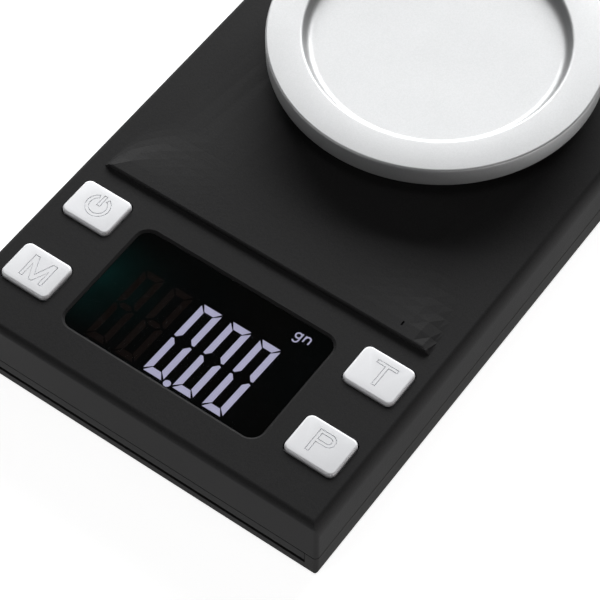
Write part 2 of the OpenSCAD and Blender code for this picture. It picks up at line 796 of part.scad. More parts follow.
// Coil springs between the negative ends and the contact plates
module battery_springs() {
    x_end = cell_l / 2 - cell_shift + spring_wire + 0.05;
    reach = bay_half - plate_t - spring_wire - 0.02 - x_end;
    color("#b9bbbe") for (s = [-1, 1]) {
        y = s > 0 ? cell_y0 : cell_y1;
        steps = spring_turns * spring_steps;
        points = [for (k = [0:steps])
            let (a = 360 * k / spring_steps, r = 1.8 + 1.6 * k / steps)
            [s * (x_end + reach * k / steps), y + r * cos(a), cell_z + r * sin(a)]];
        swept_wire(points, spring_wire, 6, [1, 0, 0]);
    }
}

// Contact on the inside of the bay's right wall, from y0 to y1, with a dimple for the raised end of a cell
module contact_plate(y0, y1, dimple_y = undef) {
    span([bay_half - plate_t, y0, cell_z - plate_half], [bay_half, y1, cell_z + plate_half]);
    if (!is_undef(dimple_y))
        translate([cell_l / 2 + cell_shift, dimple_y, cell_z]) rotate([0, 90, 0])
            cylinder(r = dimple_r, h = bay_half - plate_t - cell_l / 2 - cell_shift + eps);
}

// Tab that passes out through the bay wall, for a lead
module contact_tab(y, low) {
    span([bay_half - plate_t, y - plate_t / 2, cell_z + low],
        [bay_half + tab_reach, y + plate_t / 2, cell_z + low + tab_h]);
}

// Plate on the left wall that joins the two cells
module contact_bridge() {
    color("#c2c4c6") mirror([1, 0, 0])
        contact_plate(cell_y0 - plate_half, cell_y1 + plate_half, cell_y0);
}

module contact_positive() {
    color("#c2c4c6") {
        contact_plate(cell_y1 - plate_half, cell_y1 + plate_half, cell_y1);
        contact_tab(cell_y1, tab_high);
    }
}

module contact_negative() {
    color("#c2c4c6") {
        contact_plate(cell_y0 - plate_half, cell_y0 + plate_half);
        contact_tab(cell_y0, tab_low);
    }
}

// Lead along a route whose two ends point to the front
module lead(route, r) {
    swept_wire(smooth_route(from_front(route), 3), r, end_dir = [0, -1, 0]);
}

module lead_positive() {
    color("#b3262a") lead(route_positive, lead_r);
}

module lead_negative() {
    color("#1b1b1d") lead(route_negative, lead_r);
}

module load_cell_cable() {
    color("#cfcfcb") lead(route_cable, cable_r);
}

upper_housing();
lower_housing();
battery_door();
foot_front_left();
foot_front_right();
foot_rear_left();
foot_rear_right();
housing_screws();
display_window();
lcd_glass();
lcd_frame();
backlight_guide();
backlight_leds();
zebra_strips();
main_board();
controller_chip();
converter_chip();
board_passives();
lead_connectors();
board_screws();
switch_power();
switch_mode();
switch_tare();
switch_count();
plunger_power();
plunger_mode();
plunger_tare();
plunger_count();
key_power();
key_mode();
key_tare();
key_count();
load_cell();
strain_gauges();
gauge_sealant();
load_cell_spacer();
load_cell_screws();
overload_screw();
pan_carrier();
carrier_screws();
pan_pads();
platter();
battery_front();
battery_rear();
battery_springs();
contact_bridge();
contact_positive();
contact_negative();
lead_positive();
lead_negative();
load_cell_cable();
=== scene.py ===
"""Looks of the digital gram scale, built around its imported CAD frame. Metres, in the CAD frame."""

import json
import math

import bmesh
import bpy
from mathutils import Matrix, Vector


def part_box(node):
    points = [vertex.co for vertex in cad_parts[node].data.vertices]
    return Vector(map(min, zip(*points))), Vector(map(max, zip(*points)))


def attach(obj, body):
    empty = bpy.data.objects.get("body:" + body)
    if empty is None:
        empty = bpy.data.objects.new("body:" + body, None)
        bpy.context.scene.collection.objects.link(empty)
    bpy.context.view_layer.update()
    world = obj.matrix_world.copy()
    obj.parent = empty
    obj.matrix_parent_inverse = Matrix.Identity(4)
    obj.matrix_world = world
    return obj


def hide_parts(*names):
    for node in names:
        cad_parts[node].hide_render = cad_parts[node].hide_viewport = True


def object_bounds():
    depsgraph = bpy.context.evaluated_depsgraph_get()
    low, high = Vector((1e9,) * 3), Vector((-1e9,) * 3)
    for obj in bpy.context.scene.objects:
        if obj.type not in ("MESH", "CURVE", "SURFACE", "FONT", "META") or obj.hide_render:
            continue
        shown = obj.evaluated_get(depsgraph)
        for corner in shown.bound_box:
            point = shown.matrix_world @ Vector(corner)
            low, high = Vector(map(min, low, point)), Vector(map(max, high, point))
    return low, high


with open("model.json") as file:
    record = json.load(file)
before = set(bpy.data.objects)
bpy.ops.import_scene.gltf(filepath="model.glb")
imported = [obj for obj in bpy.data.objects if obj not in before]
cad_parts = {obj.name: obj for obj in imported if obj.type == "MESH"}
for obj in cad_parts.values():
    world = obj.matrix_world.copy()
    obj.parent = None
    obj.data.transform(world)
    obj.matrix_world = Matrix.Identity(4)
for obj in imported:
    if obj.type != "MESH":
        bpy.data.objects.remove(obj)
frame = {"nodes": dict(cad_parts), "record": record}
cad_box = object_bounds()
nodes = frame["nodes"]
scene = bpy.context.scene
MM = 0.001


# ---------------------------------------------------------------- camera

CAM_PLACE = (0.14539, -0.21885, 0.35313)
CAM_PITCH = 90 - 55.521
CAM_TURN = 35.69
CAM_LENS = 145.72

camera = bpy.data.objects.new("camera", bpy.data.cameras.new("camera"))
scene.collection.objects.link(camera)
scene.camera = camera
camera.data.sensor_width = 36
camera.data.lens = CAM_LENS
camera.data.clip_start = 0.01
camera.data.clip_end = 20
camera.location = CAM_PLACE
camera.rotation_euler = (math.radians(CAM_PITCH), 0, math.radians(CAM_TURN))


# ---------------------------------------------------------------- materials

class Shader:
    """A Principled material and short ways to add nodes to it."""

    def __init__(self, name):
        self.material = bpy.data.materials.new(name)
        self.material.use_nodes = True
        self.tree = self.material.node_tree
        self.tree.nodes.clear()
        self.out = self.tree.nodes.new("ShaderNodeOutputMaterial")
        self.bsdf = self.tree.nodes.new("ShaderNodeBsdfPrincipled")
        self.link(self.bsdf.outputs["BSDF"], self.out.inputs["Surface"])
        self.coords = self.tree.nodes.new("ShaderNodeTexCoord").outputs["Object"]

    def link(self, a, b):
        self.tree.links.new(a, b)

    def set(self, **values):
        for key, value in values.items():
            self.bsdf.inputs[key.replace("_", " ")].default_value = value

    def noise(self, scale, detail=2.0, rough=0.5, stretch=None):
        n = self.tree.nodes.new("ShaderNodeTexNoise")
        n.inputs["Scale"].default_value = scale
        n.inputs["Detail"].default_value = detail
        n.inputs["Roughness"].default_value = rough
        source = self.coords
        if stretch:
            m = self.tree.nodes.new("ShaderNodeMapping")
            m.inputs["Scale"].default_value = stretch
            self.link(source, m.inputs["Vector"])
            source = m.outputs["Vector"]
        self.link(source, n.inputs["Vector"])
        return n.outputs["Fac"]

    def ramp(self, fac, stops):
        r = self.tree.nodes.new("ShaderNodeValToRGB")
        e = r.color_ramp.elements
        while len(e) < len(stops):
            e.new(0.5)
        for k, (pos, colour) in enumerate(stops):
            e[k].position = pos
            e[k].color = (*colour, 1) if len(colour) == 3 else colour
        self.link(fac, r.inputs["Fac"])
        return r.outputs["Color"]

    def map_range(self, value, a, b, c, d):
        m = self.tree.nodes.new("ShaderNodeMapRange")
        for k, v in zip(("From Min", "From Max", "To Min", "To Max"), (a, b, c, d)):
            m.inputs[k].default_value = v
        self.link(value, m.inputs["Value"])
        return m.outputs["Result"]

    def math(self, op, a, b=0.0):
        m = self.tree.nodes.new("ShaderNodeMath")
        m.operation = op
        for socket, value in zip(m.inputs, (a, b)):
            if isinstance(value, (int, float)):
                socket.default_value = value
            else:
                self.link(value, socket)
        return m.outputs[0]

    def mix(self, fac, a, b):
        m = self.tree.nodes.new("ShaderNodeMix")
        m.data_type = "RGBA"
        for socket, value in ((m.inputs["Factor"], fac), (m.inputs[6], a), (m.inputs[7], b)):
            if isinstance(value, tuple):
                socket.default_value = (*value, 1) if len(value) == 3 else value
            elif isinstance(value, (int, float)):
                socket.default_value = value
            else:
                self.link(value, socket)
        return m.outputs[2]

    def xyz(self):
        s = self.tree.nodes.new("ShaderNodeSeparateXYZ")
        self.link(self.coords, s.inputs[0])
        return s.outputs[0], s.outputs[1], s.outputs[2]

    def colour(self, socket):
        self.link(socket, self.bsdf.inputs["Base Color"])

    def roughness(self, fac, low, high):
        self.link(self.map_range(fac, 0.3, 0.7, low, high), self.bsdf.inputs["Roughness"])

    def bump(self, height, distance, strength=1.0):
        b = self.tree.nodes.new("ShaderNodeBump")
        b.inputs["Strength"].default_value = strength
        b.inputs["Distance"].default_value = distance
        self.link(height, b.inputs["Height"])
        self.link(b.outputs["Normal"], self.bsdf.inputs["Normal"])


def tint(colour, share):
    return tuple(min(1.0, c * share) for c in colour)


def plain(name, colour, rough, metal=0.0, spec=0.5, tone=0.08, tone_scale=90.0, rough_var=0.05,
          grain=2500.0, grain_depth=0.00001, stretch=None):
    """Material with fine grain, and slow changes of tone and gloss."""
    s = Shader(name)
    s.set(Metallic=metal, Specular_IOR_Level=spec)
    slow = s.noise(tone_scale, 3.0)
    s.colour(s.ramp(slow, [(0.3, tint(colour, 1 - tone)), (0.7, tint(colour, 1 + tone))]))
    s.roughness(s.noise(tone_scale * 4, 2.0, stretch=stretch), rough - rough_var, rough + rough_var)
    s.bump(s.noise(grain, 2.0, 0.6, stretch=stretch), grain_depth)
    return s


def case_plastic(name, colour, spec=0.04):
    """Black ABS with a fine spark-eroded texture, and faint handling marks."""
    s = Shader(name)
    s.set(Specular_IOR_Level=spec)
    slow = s.noise(30.0, 4.0, 0.6)
    fine = s.noise(5200.0, 3.0, 0.65)
    base = s.ramp(slow, [(0.3, tint(colour, 0.93)), (0.7, tint(colour, 1.07))])
    speck = s.ramp(fine, [(0.35, (0.86, 0.86, 0.87)), (0.65, (1.14, 1.14, 1.13))])
    m = s.tree.nodes.new("ShaderNodeMix")
    m.data_type = "RGBA"
    m.blend_type = "MULTIPLY"
    m.inputs["Factor"].default_value = 1.0
    s.link(base, m.inputs[6])
    s.link(speck, m.inputs[7])
    s.colour(m.outputs[2])
    s.roughness(slow, 0.5, 0.58)
    s.bump(s.math("ADD", s.math("MULTIPLY", fine, 0.7), s.noise(1800.0, 2.0)), 0.000018)
    return s.material


def silver_paint(name, colour, rough, metal, flake=9000.0):
    """Silver paint: a bright ground with fine flakes of different gloss."""
    s = Shader(name)
    s.set(Metallic=metal, Specular_IOR_Level=0.5)
    flakes = s.tree.nodes.new("ShaderNodeTexVoronoi")
    flakes.inputs["Scale"].default_value = flake
    s.link(s.coords, flakes.inputs["Vector"])
    slow = s.noise(120.0, 3.0)
    base = s.ramp(slow, [(0.3, tint(colour, 0.985)), (0.7, tint(colour, 1.015))])
    s.colour(s.mix(s.map_range(flakes.outputs["Color"], 0, 1, 0.0, 0.14), base, tint(colour, 0.8)))
    s.roughness(flakes.outputs["Color"], rough - 0.05, rough + 0.05)
    s.bump(s.noise(6000.0, 2.0), 0.000004)
    return s.material


finish = {}
finish["case_plastic"] = case_plastic("case_plastic", (0.0235, 0.0235, 0.024))
finish["case_plastic_lower"] = case_plastic("case_plastic_lower", (0.025, 0.0245, 0.0245))
finish["door_plastic"] = case_plastic("door_plastic", (0.024, 0.024, 0.0245))
finish["carrier_plastic"] = plain("carrier_plastic", (0.012, 0.012, 0.013), 0.45, spec=0.4,
                                  grain=3000, grain_depth=0.00002).material
finish["foot_rubber"] = plain("foot_rubber", (0.016, 0.016, 0.016), 0.8, spec=0.3, tone=0.2,
                              grain=2600, grain_depth=0.00004).material
finish["screw_steel"] = plain("screw_steel", (0.52, 0.53, 0.55), 0.32, metal=1.0, tone=0.1,
                              tone_scale=900, grain=6000, grain_depth=0.000006).material
finish["white_plastic"] = plain("white_plastic", (0.74, 0.73, 0.7), 0.45, tone=0.03,
                                grain=3000, grain_depth=0.00001).material
finish["elastomer"] = plain("elastomer", (0.55, 0.36, 0.4), 0.7, tone=0.2, tone_scale=2500,
                            stretch=(1, 0.02, 0.02), grain=4000).material
finish["chip"] = plain("chip", (0.012, 0.012, 0.012), 0.55, tone=0.15, tone_scale=600,
                       grain=7000, grain_depth=0.000015).material
finish["switch_plastic"] = plain("switch_plastic", (0.018, 0.018, 0.019), 0.4, tone=0.1,
                                 grain=3500).material
finish["beam_aluminium"] = plain("beam_aluminium", (0.72, 0.73, 0.75), 0.34, metal=1.0, tone=0.05,
                                 tone_scale=300, stretch=(0.03, 1, 1), grain=9000,
                                 grain_depth=0.000008).material
finish["spacer_steel"] = plain("spacer_steel", (0.5, 0.5, 0.51), 0.38, metal=1.0, tone=0.08,
                               tone_scale=400, stretch=(1, 0.05, 1), grain=7000).material
finish["gauge_foil"] = plain("gauge_foil", (0.62, 0.32, 0.1), 0.35, metal=0.6, tone=0.3,
                             tone_scale=2600, stretch=(0.04, 1, 1), grain=6000).material
finish["sealant"] = plain("sealant", (0.8, 0.78, 0.72), 0.5, tone=0.06, tone_scale=500,
                          grain=700, grain_depth=0.00008).material
finish["contact_nickel"] = plain("contact_nickel", (0.66, 0.64, 0.6), 0.28, metal=1.0, tone=0.08,
                                 tone_scale=700, grain=8000, grain_depth=0.000005).material
finish["lead_red"] = plain("lead_red", (0.42, 0.015, 0.014), 0.42, tone=0.08, tone_scale=500,
                           grain=5000).material
finish["lead_black"] = plain("lead_black", (0.012, 0.012, 0.013), 0.42, tone=0.1, tone_scale=500,
                             grain=5000).material
finish["lead_grey"] = plain("lead_grey", (0.5, 0.5, 0.48), 0.5, tone=0.06, tone_scale=500,
                            grain=5000).material
finish["key_silver"] = silver_paint("key_silver", (0.82, 0.83, 0.85), 0.5, 0.16)
finish["platter_metal"] = silver_paint("platter_metal", (0.445, 0.45, 0.455), 0.52, 0.8, flake=7000)


def light_guide():
    s = plain("light_guide", (0.85, 0.86, 0.86), 0.25, tone=0.03, grain=1500, grain_depth=0.00003)
    s.set(Subsurface_Weight=0.3, Subsurface_Radius=(0.002, 0.002, 0.002))
    return s.material


def board():
    """Green solder mask over copper tracks, with tinned pads."""
    s = Shader("board")
    tracks = s.tree.nodes.new("ShaderNodeTexBrick")
    tracks.inputs["Scale"].default_value = 420
    tracks.inputs["Mortar Size"].default_value = 0.018
    tracks.inputs["Color1"].default_value = (0.012, 0.105, 0.048, 1)
    tracks.inputs["Color2"].default_value = (0.01, 0.09, 0.042, 1)
    tracks.inputs["Mortar"].default_value = (0.03, 0.2, 0.09, 1)
    s.link(s.coords, tracks.inputs["Vector"])
    pads = s.tree.nodes.new("ShaderNodeTexVoronoi")
    pads.inputs["Scale"].default_value = 330
    s.link(s.coords, pads.inputs["Vector"])
    is_pad = s.map_range(pads.outputs["Distance"], 0.16, 0.19, 1, 0)
    s.colour(s.mix(is_pad, tracks.outputs["Color"], (0.6, 0.58, 0.52)))
    s.link(s.math("MULTIPLY", is_pad, 0.9), s.bsdf.inputs["Metallic"])
    s.roughness(s.noise(300.0), 0.22, 0.34)
    s.bump(tracks.outputs["Fac"], 0.00002)
    return s.material


def cell_jacket():
    """Plain jacket: a copper-coloured band at one end of the cell, a dark body, and bare metal ends."""
    s = Shader("cell_jacket")
    x, _, _ = s.xyz()
    sleeve = s.ramp(s.map_range(x, -0.0225, 0.0225, 0, 1),
                    [(0.0, (0.55, 0.55, 0.53)), (0.03, (0.55, 0.55, 0.53)), (0.035, (0.02, 0.11, 0.075)),
                     (0.72, (0.025, 0.13, 0.09)), (0.725, (0.5, 0.5, 0.48)), (0.74, (0.5, 0.5, 0.48)),
                     (0.745, (0.42, 0.24, 0.09)), (0.96, (0.45, 0.26, 0.1)), (0.965, (0.6, 0.6, 0.58))])
    s.colour(s.mix(s.map_range(s.noise(260.0), 0.3, 0.7, 0, 0.12), sleeve, (0.02, 0.02, 0.02)))
    s.set(Metallic=0.55, Coat_Weight=0.3, Coat_Roughness=0.15)
    s.roughness(s.noise(500.0), 0.25, 0.38)
    s.bump(s.noise(3500.0), 0.000006)
    return s.material


def lcd():
    """Black display glass, with a faint teal glow painted into its emission round the middle of its left
    edge.
    """
    s = Shader("lcd")
    s.set(Base_Color=(0.0015, 0.0015, 0.002, 1), Specular_IOR_Level=0.05)
    x, y, _ = s.xyz()
    across = s.map_range(x, -0.0205, -0.004, 1, 0)
    middle = s.math("MULTIPLY", s.map_range(y, -0.057, -0.047, 0, 1), s.map_range(y, -0.045, -0.035, 1, 0))
    # Painted teal glow: an emissive patch on the glass, strongest at the middle of its left edge.
    teal = s.math("MULTIPLY", s.math("POWER", across, 2.0), middle)
    patch = s.math("MULTIPLY", teal, s.map_range(s.noise(110.0, 3.0), 0.3, 0.7, 0.4, 1.15))
    ground = s.ramp(s.noise(70.0, 2.0),
                    [(0.35, (0.0003, 0.0007, 0.0006)), (0.65, (0.0007, 0.0007, 0.0005))])
    s.link(s.mix(patch, ground, (0.0014, 0.012, 0.0105)), s.bsdf.inputs["Emission Color"])
    s.set(Emission_Strength=1.0)
    s.roughness(s.noise(500.0), 0.06, 0.1)
    s.bump(s.noise(1500.0), 0.000002)
    return s.material


def window():
    """Clear polished acrylic."""
    s = Shader("window")
    s.set(Transmission_Weight=1.0, IOR=1.49, Specular_IOR_Level=0.35)
    s.colour(s.ramp(s.noise(40.0), [(0.3, (0.93, 0.94, 0.95)), (0.7, (0.96, 0.96, 0.96))]))
    s.roughness(s.noise(150.0), 0.008, 0.02)
    s.bump(s.noise(60.0), 0.0000006)
    return s.material


def glow(name, colour, strength):
    """Lit liquid-crystal area: the backlight through it, a little uneven."""
    s = Shader(name)
    s.colour(s.ramp(s.noise(400.0), [(0.3, tint(colour, 0.1)), (0.7, tint(colour, 0.12))]))
    s.link(s.ramp(s.noise(160.0, 2.0), [(0.3, tint(colour, 0.97)), (0.7, tint(colour, 1.03))]),
           s.bsdf.inputs["Emission Color"])
    s.set(Emission_Strength=strength, Roughness=0.4, Specular_IOR_Level=0.1)
    return s.material


finish["passives"] = plain("passives", (0.45, 0.33, 0.18), 0.45, tone=0.25, tone_scale=400,
                           grain=5000).material
finish["light_guide"] = light_guide()
finish["led"] = plain("led", (0.85, 0.7, 0.25), 0.3, tone=0.1, tone_scale=900).material
finish["board"] = board()
finish["cell_jacket"] = cell_jacket()
finish["lcd"] = lcd()
finish["window"] = window()
lit = glow("lcd_lit", (0.402, 0.392, 0.546), 1.0)
unlit = glow("lcd_unlit", (0.0028, 0.0012, 0.0007), 1.0)

slot_of = {p["node"]: p["material_slot"] for p in frame["record"]["subparts"]}
for name, obj in nodes.items():
    obj.data.materials.clear()
    obj.data.materials.append(finish[slot_of[name]])


# ---------------------------------------------------------------- mesh helpers

def new_object(name, mesh, material, body):
    obj = bpy.data.objects.new(name, mesh)
    scene.collection.objects.link(obj)
    mesh.materials.clear()
    mesh.materials.append(material)
    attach(obj, body)
    return obj


def smooth(mesh, angle=30.0):
    """Smooth shading, with sharp edges kept where faces meet at more than the angle."""
    bm = bmesh.new()
    bm.from_mesh(mesh)
    bmesh.ops.recalc_face_normals(bm, faces=bm.faces)
    limit = math.radians(angle)
    for f in bm.faces:
        f.smooth = True
    for e in bm.edges:
        if len(e.link_faces) == 2:
            e.smooth = e.calc_face_angle(0.0) < limit
    bm.to_mesh(mesh)
    bm.free()
    return mesh


def round_rect_ring(cx, cy, w, d, r, z, per):
    """Points of a rectangle with round corners, going round once, with per steps to a corner."""
    points = []
    for sx, sy, a0 in ((1, 1, 0), (-1, 1, 90), (-1, -1, 180), (1, -1, 270)):
        for k in range(per + 1):
            a = math.radians(a0 + 90 * k / per)
            points.append((cx + sx * (w / 2 - r) + r * math.cos(a),
                           cy + sy * (d / 2 - r) + r * math.sin(a), z))
    return points


def loft(name, rings):
    """Closed mesh through rings of equal length, with a flat face at each end."""
    n = len(rings[0])
    verts = [v for ring in rings for v in ring]
    faces = [tuple(reversed(range(n)))]
    for k in range(len(rings) - 1):
        for j in range(n):
            a, b = k * n + j, k * n + (j + 1) % n
            faces.append((a, b, b + n, a + n))
    faces.append(tuple((len(rings) - 1) * n + j for j in range(n)))
    mesh = bpy.data.meshes.new(name)
    mesh.from_pydata(verts, [], faces)
    mesh.validate()
    return mesh


def prism(outline, z0, z1):
    """Lower and upper ring of a closed prism over a flat outline."""
    return [[(x, y, z) for x, y in outline] for z in (z0, z1)]


def offset(outline, d):
    """Outline moved outwards by d, with mitred corners; the outline goes anticlockwise."""
    n, out = len(outline), []
    for k in range(n):
        p0, p1, p2 = (Vector(outline[(k + j) % n]) for j in (-1, 0, 1))
        a, b = (p1 - p0).normalized(), (p2 - p1).normalized()
        na, nb = Vector((a.y, -a.x)), Vector((b.y, -b.x))
        m = (na + nb) / max(0.3, 1 + na.dot(nb))
        out.append((p1.x + m.x * d, p1.y + m.y * d))
    return out


def join_prisms(name, prisms):
    """One mesh of several closed prisms; each is a list of two rings."""
    verts, faces = [], []
    for rings in prisms:
        n, base = len(rings[0]), len(verts)
        verts += rings[0] + rings[1]
        faces.append(tuple(base + j for j in reversed(range(n))))
        faces.append(tuple(base + n + j for j in range(n)))
        for j in range(n):
            a, b = base + j, base + (j + 1) % n
            faces.append((a, b, b + n, a + n))
    mesh = bpy.data.meshes.new(name)
    mesh.from_pydata(verts, [], faces)
    mesh.validate()
    return mesh


def ring_mesh(name, outer, inner, z0, z1):
    n = len(outer)
    verts = [(x, y, z) for z in (z0, z1) for loop in (outer, inner) for x, y in loop]
    faces = []
    for j in range(n):
        k = (j + 1) % n
        faces += [(j, n + j, n + k, k), (2 * n + j, 2 * n + k, 3 * n + k, 3 * n + j),
                  (j, k, 2 * n + k, 2 * n + j), (n + j, 3 * n + j, 3 * n + k, n + k)]
    mesh = bpy.data.meshes.new(name)
    mesh.from_pydata(verts, [], faces)
    mesh.validate()
    return mesh


def cut(obj, cutter_mesh):
    """Boolean difference, applied."""
    tool = bpy.data.objects.new("cutter", cutter_mesh)
    scene.collection.objects.link(tool)
    mod = obj.modifiers.new("cut", "BOOLEAN")
    mod.operation = "DIFFERENCE"
    mod.solver = "EXACT"
    mod.object = tool
    dg = bpy.context.evaluated_depsgraph_get()
    result = bpy.data.meshes.new_from_object(obj.evaluated_get(dg))
    obj.modifiers.clear()
    obj.data = result
    bpy.data.objects.remove(tool)


# ---------------------------------------------------------------- keys

KEY_FILLET = 0.45 * MM
KEY_CORNER = 1.3 * MM
KEY_CORNER_STEPS = 10
KEY_FILLET_STEPS = 8
FLANGE_MARGIN = 0.7 * MM
FLANGE_BELOW = 2.5 * MM
FLANGE_T = 0.8 * MM
PUSHER_W = 3.0 * MM
PUSHER_R = 1.4999 * MM
GROOVE_DEPTH = 0.16 * MM
GROOVE_HALF = 0.07 * MM


def arc(cx, cy, r, a0, a1, n):
    return [(cx + r * math.cos(math.radians(a0 + (a1 - a0) * k / n)),
             cy + r * math.sin(math.radians(a0 + (a1 - a0) * k / n))) for k in range(n + 1)]


# Outlines of the marks, in millimetres from the middle of the key, anticlockwise.
# A fine groove follows each one.
RING_GAP = 27
GLYPHS = {
    "power": [
        arc(0.05, 0.2, 2.3, 90 + RING_GAP, 450 - RING_GAP, 48)
        + arc(0.05, 0.2, 1.66, 450 - RING_GAP, 90 + RING_GAP, 40),
        [(-0.25, 0.25), (0.35, 0.25), (0.35, 2.55), (-0.25, 2.55)]],
    "mode": [
        [(-2.05, -2.25), (-1.37, -2.25), (-1.37, 0.75), (0.0, -2.25), (0.66, -2.25), (2.03, 0.75),
         (2.03, -2.25), (2.7, -2.25), (2.7, 2.4), (1.8, 2.4), (0.33, -1.0), (-1.14, 2.4),
         (-2.05, 2.4)]],
    "tare": [
        [(-0.04, -2.2), (0.62, -2.2), (0.62, 1.85), (2.3, 1.85), (2.3, 2.45), (-1.72, 2.45),
         (-1.72, 1.85), (-0.04, 1.85)]],
    "count": [
        [(-1.72, -2.15), (-1.05, -2.15), (-1.05, -0.02), (0.7, -0.02)]
        + arc(0.7, 1.22, 1.24, -80, 80, 14) + [(0.7, 2.46), (-1.72, 2.46)],
        [(-1.05, 0.58), (0.66, 0.58)] + arc(0.66, 1.22, 0.64, -80, 80, 10)
        + [(0.66, 1.86), (-1.05, 1.86)]],
}


def make_key(name):
    node = "key_" + name
    low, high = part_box(node)
    cx, cy = (low.x + high.x) / 2, (low.y + high.y) / 2
    flange_w, flange_d = high.x - low.x, high.y - low.y
    w, d = flange_w - 2 * FLANGE_MARGIN, flange_d - 2 * FLANGE_MARGIN
    top = high.z
    flange_top = top - FLANGE_BELOW
    flange_low = flange_top - FLANGE_T

    def ring(width, depth, radius, z):
        return round_rect_ring(cx, cy, width, depth, radius, z, KEY_CORNER_STEPS)

    rings = [ring(PUSHER_W, PUSHER_W, PUSHER_R, low.z),
             ring(PUSHER_W, PUSHER_W, PUSHER_R, flange_low),
             ring(flange_w, flange_d, KEY_CORNER, flange_low),
             ring(flange_w, flange_d, KEY_CORNER, flange_top),
             ring(w, d, KEY_CORNER, flange_top)]
    for k in range(KEY_FILLET_STEPS + 1):
        a = math.radians(90 * k / KEY_FILLET_STEPS)
        back = KEY_FILLET * (1 - math.cos(a))
        z = top - KEY_FILLET + KEY_FILLET * math.sin(a)
        rings.append(ring(w - 2 * back, d - 2 * back, KEY_CORNER - back, z))
    mesh = loft(node + "_cap", rings)
    obj = new_object(node + "_cap", mesh, finish["key_silver"], name + "_key")
    for outline in GLYPHS[name]:
        points = [(cx + x * MM, cy + y * MM) for x, y in outline]
        cut(obj, ring_mesh("groove", offset(points, GROOVE_HALF), offset(points, -GROOVE_HALF),
                           top - GROOVE_DEPTH, top + GROOVE_DEPTH))
    smooth(obj.data, 35)
    obj.data.materials.clear()
    obj.data.materials.append(finish["key_silver"])
    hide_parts(node)


for key in GLYPHS:
    make_key(key)


# ---------------------------------------------------------------- platter

def lathe(name, profile, centre, steps=192):
    """Closed solid of revolution; the profile starts and ends on the axis."""
    mesh = bpy.data.meshes.new(name)
    verts, faces = [], []
    inner = profile[1:-1]
    n = len(inner)
    for k in range(steps):
        a = 2 * math.pi * k / steps
        for r, z in inner:
            verts.append((centre[0] + r * math.cos(a), centre[1] + r * math.sin(a), z))
    first, last = len(verts), len(verts) + 1
    verts += [(centre[0], centre[1], profile[0][1]), (centre[0], centre[1], profile[-1][1])]
    for k in range(steps):
        a, b = k * n, (k + 1) % steps * n
        faces.append((first, a, b))
        for j in range(n - 1):
            faces.append((a + j, a + j + 1, b + j + 1, b + j))
        faces.append((a + n - 1, last, b + n - 1))
    mesh.from_pydata(verts, [], faces)
    mesh.validate()
    return mesh


def fillet(profile, radii, n=6):
    """Profile with its corners rounded; radii maps a corner's number to its radius."""
    out = []
    for k, p in enumerate(profile):
        if k not in radii:
            out.append(p)
            continue
        p0, p1, p2 = Vector(profile[k - 1]), Vector(p), Vector(profile[k + 1])
        a, b = (p0 - p1).normalized(), (p2 - p1).normalized()
        half = a.angle(b) / 2
        r = radii[k]
        t = r / math.tan(half)
        c = p1 + (a + b).normalized() * (r / math.sin(half))
        s, e = p1 + a * t - c, p1 + b * t - c
        for j in range(n + 1):
            w = j / n
            v = (s * (1 - w) + e * w)
            out.append(tuple(c + v.normalized() * r))
    return out


low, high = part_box("platter")
PAN = ((low.x + high.x) / 2, (low.y + high.y) / 2)
R_OUT = (high.x - low.x) / 2
rim = high.z
SKIRT_H = 4.1 * MM
R_DISH = 23.8 * MM
DISH_DEPTH = 2.2 * MM
SKIN = 1.2 * MM
SLOPE = 0.7 * MM
LIP = 0.25 * MM
RING_OUT = 13.4 * MM
RING_IN = 12.4 * MM
skirt = rim - SKIRT_H
dish = rim - DISH_DEPTH
seat = dish - SKIN
corner_points = [
    (0, dish), (R_DISH - SLOPE, dish), (R_DISH + LIP, rim), (R_OUT, rim), (R_OUT, skirt),
    (R_OUT - SKIN, skirt), (R_OUT - SKIN, rim - SKIN), (R_DISH + SKIN, rim - SKIN),
    (R_DISH + SKIN, seat), (RING_OUT, seat), (RING_OUT, low.z), (RING_IN, low.z), (RING_IN, seat),
    (0, seat)]
rounded = fillet(corner_points, {1: 1.7 * MM, 2: 0.75 * MM, 3: 0.38 * MM, 4: 0.25 * MM, 5: 0.2 * MM,
                                 6: 0.3 * MM, 7: 0.5 * MM, 8: 0.8 * MM}, 8)
platter = new_object("platter_dish", smooth(lathe("platter_dish", rounded, PAN), 40),
                     finish["platter_metal"], "tray")
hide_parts("platter")


# ---------------------------------------------------------------- display

LCD_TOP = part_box("lcd_glass")[1].z
FRONT = cad_box[0].y
AREA = 0.02 * MM
STROKE_AREA = 0.019 * MM
DIGIT_W = 4.2
DIGIT_H = 16.3
PITCH = 6.08
DIGIT_X = -3.36
DIGIT_Y = 8.35
SLANT = 0.028
STROKE = 1.5
GAP = 0.24
POINT = (1.55, 8.43, 0.66)


def segment_outlines():
    """The seven areas of a digit, in millimetres from its lower left corner, with mitred ends."""
    w, h, s, g = DIGIT_W, DIGIT_H, STROKE, GAP
    m = h / 2
    sh = s * 0.8
    return {
        "a": [(g, h), (sh, h - s + g), (w - sh, h - s + g), (w - g, h)],
        "d": [(g, 0), (w - g, 0), (w - sh, s - g), (sh, s - g)],
        "f": [(0, h - g * 1.6), (0, m + 0.35), (0.45, m + g), (sh, m + sh * 0.9), (sh, h - s)],
        "b": [(w, h - g * 1.6), (w - sh, h - s), (w - sh, m + sh * 0.9), (w - 0.45, m + g), (w, m + 0.35)],
        "e": [(0, g * 1.6), (sh, s), (sh, m - sh * 0.9), (0.45, m - g), (0, m - 0.35)],
        "c": [(w, g * 1.6), (w, m - 0.35), (w - 0.45, m - g), (w - sh, m - sh * 0.9), (w - sh, s)],
        "g": [(0.75, m), (sh + 0.2, m - 0.55), (w - sh - 0.2, m - 0.55), (w - 0.75, m),
              (w - sh - 0.2, m + 0.55), (sh + 0.2, m + 0.55)],
    }


